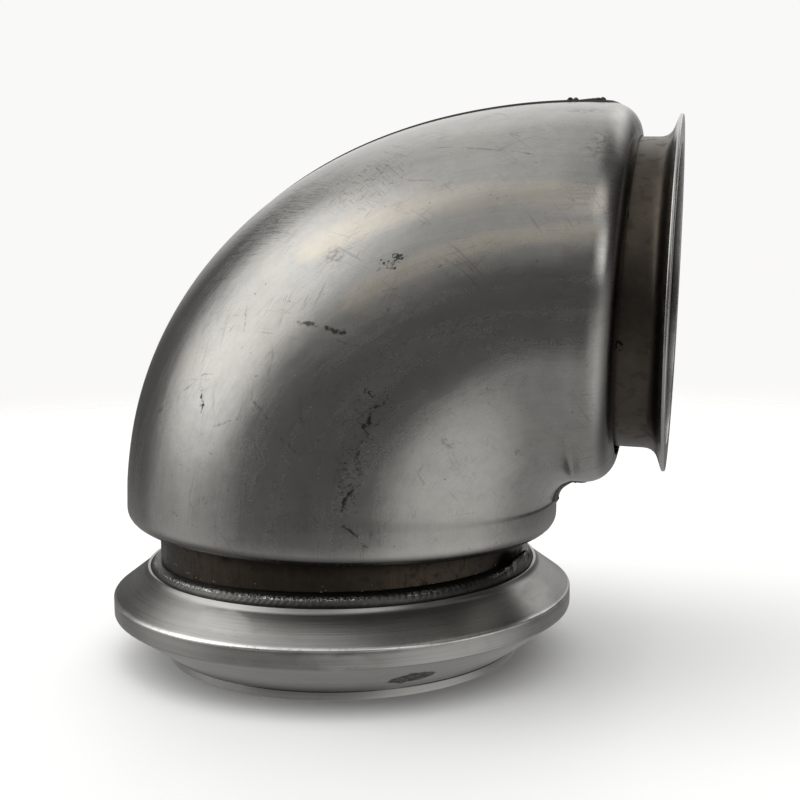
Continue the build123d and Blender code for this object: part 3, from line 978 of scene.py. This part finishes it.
def rim_wear(radius, height, angle):
    """Small dings on the rim's two edges, always inwards."""
    if radius < RIM_R - 2:
        return radius, height
    off_edge = min(abs(height - RIM_LOW_Z), abs(height - RIM_HIGH_Z))
    edge = max(0.0, 1 - off_edge / DING_REACH)
    a = math.radians(angle)
    hit = noise.noise(Vector((math.cos(a) * 9, math.sin(a) * 9, height * 0.15)))
    return radius - DING_DEPTH * edge * max(0.0, hit - 0.15), height


def make_inlet_flange(steel):
    lip = LIP_R - LIP_WALL
    slip = INLET_TUBE_R + FLANGE_SLIP
    outline = rounded([
        (FLANGE_BORE_R, 0.0, 0.4),
        (PILOT_R, 0.0, 0.4),
        (PILOT_R, PILOT_H, 0.15),
        (PILOT_R - GROOVE, PILOT_H, 0.0),
        (PILOT_R - GROOVE, PILOT_H + GROOVE, 0.0),
        (PILOT_R + GROOVE, PILOT_H + GROOVE, 0.2),
        (RIM_R, RIM_LOW_Z, 0.4),
        (RIM_R, RIM_HIGH_Z, 0.4),
        (LIP_R + LIP_FOOT, LIP_Z - LIP_RISE, 1.2),
        (LIP_R, LIP_Z, 0.25),
        (lip, LIP_Z, 0.3),
        (lip, WELD_SEAT_Z, 0.0),
        (slip, WELD_SEAT_Z, 0.0),
        (slip, SOCKET_Z, 0.0),
        (FLANGE_BORE_R, SOCKET_Z, 0.3),
    ])
    flange = lathe("clamp_flange", INLET, outline, 300, rim_wear)
    finished(flange, steel, "flange_steel", "inlet_flange")


def make_outlet_flange(steel):
    inner = OUTLET_TUBE_R - TUBE_WALL
    outline = rounded([
        (inner, 0.0, 0.2),
        (OUTLET_TUBE_R, 0.0, 0.2),
        (OUTLET_TUBE_R, FACE_DIST - FLARE_CORNER, FLARE_BLEND),
        (FACE_R, FACE_DIST - FACE_RIM, 0.45),
        (FACE_R, FACE_DIST, 0.45),
        (inner, FACE_DIST, 0.3),
    ], 1.0)
    flange = lathe("flared_flange", OUTLET, outline, 300)
    finished(flange, steel, "tube_steel", "outlet_flange")


# ---- welds ----
BEAD_ROOT_R = INLET_TUBE_R - 0.2
BEAD_TOE_R = INLET_TUBE_R + 0.3
BEAD_START_Z = WELD_SEAT_Z + 0.4
BEAD_CROWN = 0.6
BEAD_SWELL = 0.3
# Shares of the bead's height that go outwards and upwards
BEAD_OUT = 0.8
BEAD_UP = 0.6
RIPPLES = 190
RIPPLE_H = 0.14
RIPPLE_SKEW = 0.9
RIPPLE_ROUGH = 0.35
LUMP_ANGLE = 168.0
LUMP_WIDTH = 10.0
LUMP_H = 1.9
LOW_ANGLE = 10.0
LOW_WIDTH = 45.0
LOW_DEPTH = 2.8


def bead_toe(angle):
    """Height of the bead's upper toe, which dips where less metal was laid."""
    off = (angle - LOW_ANGLE + 180) % 360 - 180
    return WELD_TOE_Z - LOW_DEPTH * math.exp(-(off / LOW_WIDTH) ** 2)


def flange_weld_bead(material):
    """Hand-laid bead with fine ripples and one build-up where it stopped."""
    outer = LIP_R - LIP_WALL
    steps = RIPPLES * 6

    def place(i, j):
        angle = 360 * j / steps
        if i >= BEAD_POINTS:
            root = ((BEAD_ROOT_R, bead_toe(angle)), (BEAD_ROOT_R, WELD_SEAT_Z), (outer, WELD_SEAT_Z))
            radius, height = root[i - BEAD_POINTS]
            return INLET.local(radius, angle, height)
        share = i / (BEAD_POINTS - 1)
        arch = math.sin(math.pi * share)
        a = math.radians(angle)
        around = Vector((math.cos(a), math.sin(a), 0.0))
        rough = noise.noise(around * 14 + Vector((0, 0, share * 2)))
        skew = RIPPLE_SKEW * (share - 0.5) ** 2 * 4
        phase = (angle * RIPPLES / 360 + skew + RIPPLE_ROUGH * rough) % 1.0
        ripple = RIPPLE_H * (1 - (2 * phase - 1) ** 2)
        near = math.exp(-((angle - LUMP_ANGLE) / LUMP_WIDTH) ** 2)
        lump = LUMP_H * near * (1 + 0.7 * noise.noise(around * 40))
        swell = BEAD_SWELL * noise.noise(around * 5 + Vector((7, 0, 0)))
        out = (BEAD_CROWN + ripple + lump + swell) * arch
        radius = outer + (BEAD_TOE_R - outer) * share + BEAD_OUT * out
        height = BEAD_START_Z + (bead_toe(angle) - BEAD_START_Z) * share + (BEAD_UP + near) * out
        return INLET.local(radius, angle, height)

    def uv(i, j):
        return (360 * j / steps * UV_PER_DEGREE, i * UV_PER_DEGREE)

    rows = BEAD_POINTS + 3
    cells = grid(rows, steps, True, True)
    bead = grid_piece("flange_bead", rows, steps, place, uv, cells, INLET.matrix(), 60.0)
    finished(bead, material, "weld_metal", "flange_weld")


def add_blob(shape, centre, normal, radius, squash, rough, seed):
    """An uneven dome of weld metal added to a bmesh."""
    made = bmesh.ops.create_icosphere(shape, subdivisions=4, radius=radius * MM)
    turned = normal.to_track_quat("Z", "Y").to_matrix()
    for vertex in made["verts"]:
        push = 1 + rough * noise.noise(vertex.co / (radius * MM) * 1.6 + Vector((seed, 0, 0)))
        vertex.co *= push
        vertex.co.z *= squash
        vertex.co = turned @ vertex.co + centre


def blob_piece(name, blobs, material, *nodes):
    """A piece of weld domes, each a (centre, normal, radius, squash, roughness)."""
    shape = bmesh.new()
    for number, blob in enumerate(blobs):
        add_blob(shape, *blob, number * 3.7)
    mesh = bpy.data.meshes.new(name)
    shape.to_mesh(mesh)
    shape.free()
    mesh.shade_smooth()
    piece = bpy.data.objects.new(name, mesh)
    bpy.context.collection.objects.link(piece)
    return finished(piece, material, "weld_metal", *nodes)


def on_shell(angle, phi, lift):
    """A place over the shell's outer skin and the direction out of it."""
    section = SHELL.section(angle)
    radius = SHELL.radius(angle) + lift
    foot = section.point(radius, phi)
    return foot, foot - section.point(0.0, 0.0)


def crown_blob(distance, radius, squash):
    """Weld on the crown lap, a distance in millimetres before the bend's outlet end."""
    angle = SHELL_END - span(distance, SHELL.far[1])
    lift = (LAP_LIFT + SHELL_WALL) * CROWN_PRESSED - DENT / 2
    foot, normal = on_shell(angle, span(LAP_WIDTH / 2, SHELL_OUTLET_R), lift)
    return foot, normal, radius, squash, 0.10


def throat_blob(angle):
    lift = LAP_LIFT + SHELL_WALL - DENT / 2
    foot, normal = on_shell(angle, 180 - span(LAP_WIDTH / 2, SHELL.radius(angle)), lift)
    return foot, normal, THROAT_BUTTON_R, 0.8, 0.2


def make_lap_tacks(material):
    crown = [crown_blob(distance, radius, 1.0) for distance, radius in CROWN_BUTTONS]
    for distance, rise in zip(between(*CROWN_BEAD, 8), between(*CROWN_BEAD_RISE, 8)):
        crown.append(crown_blob(distance, CROWN_BEAD_HALF, rise))
    throat = [throat_blob(angle) for angle in THROAT_BUTTONS]
    blob_piece("crown_tacks", crown, material, "crown_lap_tacks")
    blob_piece("throat_tacks", throat, material, "throat_lap_tacks")


def ring_blobs(section, radius, height, angles):
    blobs = []
    for angle in angles:
        foot = section.point(radius, angle, height)
        normal = foot - section.point(0.0, 0.0, height)
        blobs.append((foot, normal, TACK_R, 0.75, 0.35))
    return blobs


def make_end_tacks(silver, dark):
    start = SHELL.section(SHELL_START)
    radius = (INLET_TUBE_R + INLET_MOUTH_R) / 2
    blobs = ring_blobs(start, radius, -INLET_END_DEPTH, INLET_TACK_ANGLES)
    blob_piece("inlet_tacks", blobs, silver, "inlet_tack_welds")
    mouth = OUTLET_END_DEPTH + SHELL.section(SHELL_END).centre.x - OUTLET.centre.x
    radius = (OUTLET_TUBE_R + OUTLET_MOUTH_R) / 2
    blobs = ring_blobs(OUTLET, radius, mouth, OUTLET_TACK_ANGLES)
    blob_piece("outlet_tacks", blobs, dark, "outlet_tack_welds")


SPATTER_COUNT = 70
SPATTER_RISE = 2.5
SPATTER_R = (0.12, 0.28)


def make_spatter(material):
    """Small droplets thrown on the collar just above the bead."""
    draw = random.Random(41)
    blobs = []
    for _ in range(SPATTER_COUNT):
        angle = draw.uniform(0, 360)
        rise = draw.random() ** 3 * SPATTER_RISE
        foot = INLET.point(INLET_TUBE_R, angle, WELD_TOE_Z + rise)
        normal = foot - INLET.point(0.0, 0.0, WELD_TOE_Z)
        blobs.append((foot, normal, draw.uniform(*SPATTER_R), 0.7, 0.3))
    blob_piece("weld_spatter", blobs, material)


# ---- CAD nodes that stay, with their own finish ----
def dress(node, material):
    """Give a CAD node's mesh a material of this script."""
    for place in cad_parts[node].material_slots:
        place.material = material


# ---- stage, light and camera ----
FLOOR_Z = cad_box[0][2] - 0.0001
FLOOR_R = 0.9
FLOOR_FADE = (0.40, 0.80)
FLOOR_RINGS = 12
FLOOR_STEPS = 96
LOOK_AT = Vector((21.7, 0.0, 90.0)) * MM


def make_stage():
    """Pale round floor that fades out into the studio's background."""
    def place(i, j):
        radius = FLOOR_R * i / FLOOR_RINGS
        a = 2 * math.pi * j / FLOOR_STEPS
        return Vector((radius * math.cos(a), radius * math.sin(a), FLOOR_Z))

    def uv(i, j):
        return (i / FLOOR_RINGS, j / FLOOR_STEPS)

    m = Metal("pale_floor", metallic=0.0)
    solid = m.object_place()
    cloud = m.grain(solid, 0.01, 3.0)
    colour = m.mix(cloud, rgb(0.84, 0.84, 0.835), rgb(0.87, 0.87, 0.865))
    reach = m.vector("LENGTH", m.scaled(solid, MM))
    m.put(m.surface.inputs["Alpha"], m.ramp(reach, *FLOOR_FADE, 1.0, 0.0))
    material = m.finish(colour, m.ramp(cloud, 0.2, 0.8, 0.75, 0.85), cloud, 0.02)
    cells = grid(FLOOR_RINGS + 1, FLOOR_STEPS, False, True)
    stage = grid_piece("studio_floor", FLOOR_RINGS + 1, FLOOR_STEPS, place, uv, cells)
    stage.data.materials.append(material)
    stage.visible_glossy = False


CARD_Y = -0.235
CARD_X = (-0.17, 0.16)
CARD_TOP = 0.17


def make_dark_card():
    """A studio's dark card in front of the metal, mirrored in it but not seen itself."""
    def place(i, j):
        return Vector((CARD_X[j], CARD_Y, FLOOR_Z + CARD_TOP * i))

    def uv(i, j):
        return (j, i)

    m = Metal("dark_card", metallic=0.0)
    weave = m.grain(m.object_place(), 0.4, 3.0)
    colour = m.mix(weave, rgb(0.15, 0.15, 0.15), rgb(0.17, 0.17, 0.17))
    material = m.finish(colour, 0.9, weave, 0.02)
    card = grid_piece("dark_card", 2, 2, place, uv, grid(2, 2, False, False))
    card.data.materials.append(material)
    card.visible_camera = False
    card.visible_diffuse = False
    card.visible_shadow = False


def towards(azimuth, elevation):
    """Direction from the object; azimuth 0 is the front and 90 the outlet side."""
    a = math.radians(azimuth)
    e = math.radians(elevation)
    return Vector((math.sin(a) * math.cos(e), -math.cos(a) * math.cos(e), math.sin(e)))


ROOM = 0.10
GROUND = 0.30
BACKGROUND = 0.95
# Azimuth, elevation and half width in degrees, then brightness
GLOWS = {
    "key": (-72, 32, 40, 1.65),
    "top": (-120, 66, 42, 0.8),
    "front_top": (-10, 52, 38, 0.50),
    "left": (-75, 0, 40, 0.35),
    "back": (-170, 26, 38, 1.0),
    "back_right": (150, 42, 26, 1.0),
    "strip": (42, 22, 17, 1.6),
    "strip_high": (38, 52, 18, 0.9),
    "right": (70, -26, 48, 0.52),
}


def make_world():
    """A soft studio room: dim towards the camera, with wide glows round the object."""
    world = bpy.data.worlds.new("studio")
    bpy.context.scene.world = world
    world.use_nodes = True
    s = Shader(world.node_tree)
    direction = s.node("TexCoord").outputs["Generated"]
    total = s.add(s.ramp(s.parts(direction)[2], -0.40, -0.05, GROUND, 0.0), ROOM)
    for azimuth, elevation, width, brightness in GLOWS.values():
        facing = s.vector("DOT_PRODUCT", direction, towards(azimuth, elevation))
        edge = math.cos(math.radians(width))
        total = s.add(s.ramp(facing, edge, 1.0, 0.0, brightness), total)
    seen = s.node("LightPath").outputs["Is Camera Ray"]
    background = world.node_tree.nodes["Background"]
    s.put(background.inputs["Strength"], s.ramp(seen, 0.0, 1.0, total, BACKGROUND))
    background.inputs["Color"].default_value = rgb(1.0, 0.995, 0.98)


SUN_AZIMUTHS = (-50, 70, 190)
SUN_HEIGHT = 60
SUN_POWER = 0.7
SUN_SPREAD = 60.0


def make_suns():
    """Wide soft lights for the floor and its shadows, not mirrored in the metal."""
    for number, azimuth in enumerate(SUN_AZIMUTHS):
        name = f"soft_sun_{number + 1}"
        light = bpy.data.lights.new(name, "SUN")
        light.energy = SUN_POWER
        light.angle = math.radians(SUN_SPREAD)
        lamp = bpy.data.objects.new(name, light)
        bpy.context.collection.objects.link(lamp)
        facing = towards(azimuth, SUN_HEIGHT).to_track_quat("Z", "Y")
        lamp.matrix_world = facing.to_matrix().to_4x4()
        lamp.visible_glossy = False


CAMERA_AZIMUTH = 13.0
CAMERA_ELEVATION = 7.35
CAMERA_ROLL = -0.81
CAMERA_DISTANCE = 0.470
LENS = 61.02
SHIFT_UP = -0.01


def make_camera():
    back = towards(CAMERA_AZIMUTH, CAMERA_ELEVATION)
    right = Vector((0, 0, 1)).cross(back).normalized()
    up = back.cross(right)
    roll = math.radians(CAMERA_ROLL)
    rolled_right = right * math.cos(roll) + up * math.sin(roll)
    rolled_up = back.cross(rolled_right)
    turned = Matrix((rolled_right, rolled_up, back)).transposed().to_4x4()
    data = bpy.data.cameras.new("camera")
    data.lens = LENS
    data.shift_y = SHIFT_UP
    data.clip_start = 0.01
    camera = bpy.data.objects.new("camera", data)
    bpy.context.collection.objects.link(camera)
    camera.matrix_world = Matrix.Translation(LOOK_AT + back * CAMERA_DISTANCE) @ turned
    bpy.context.scene.camera = camera


def main():
    soot = soot_steel()
    black_weld = weld_metal("black_weld", rgb(0.022, 0.020, 0.018), rgb(0.10, 0.09, 0.08), 0.55)
    silver_weld = weld_metal("silver_weld", rgb(0.26, 0.25, 0.24), rgb(0.52, 0.51, 0.49), 0.6)
    make_shell(shell_steel())
    make_gas_tube(soot, burnt_steel())
    make_inlet_flange(flange_steel())
    make_outlet_flange(faced_steel())
    flange_weld_bead(bead_metal())
    make_lap_tacks(black_weld)
    make_end_tacks(silver_weld, black_weld)
    make_spatter(silver_weld)
    felt = fibre_felt()
    wire = knitted_wire()
    for node in ("insulation_front", "insulation_rear"):
        dress(node, felt)
    for node in ("inlet_mesh_ring", "outlet_mesh_ring"):
        dress(node, wire)
    for node in ("inner_crown_weld", "inner_throat_weld", "collar_weld", "outlet_neck_weld"):
        dress(node, black_weld)
    make_stage()
    make_dark_card()
    make_world()
    make_suns()
    make_camera()
    bpy.context.scene.view_settings.view_transform = "Standard"


main()
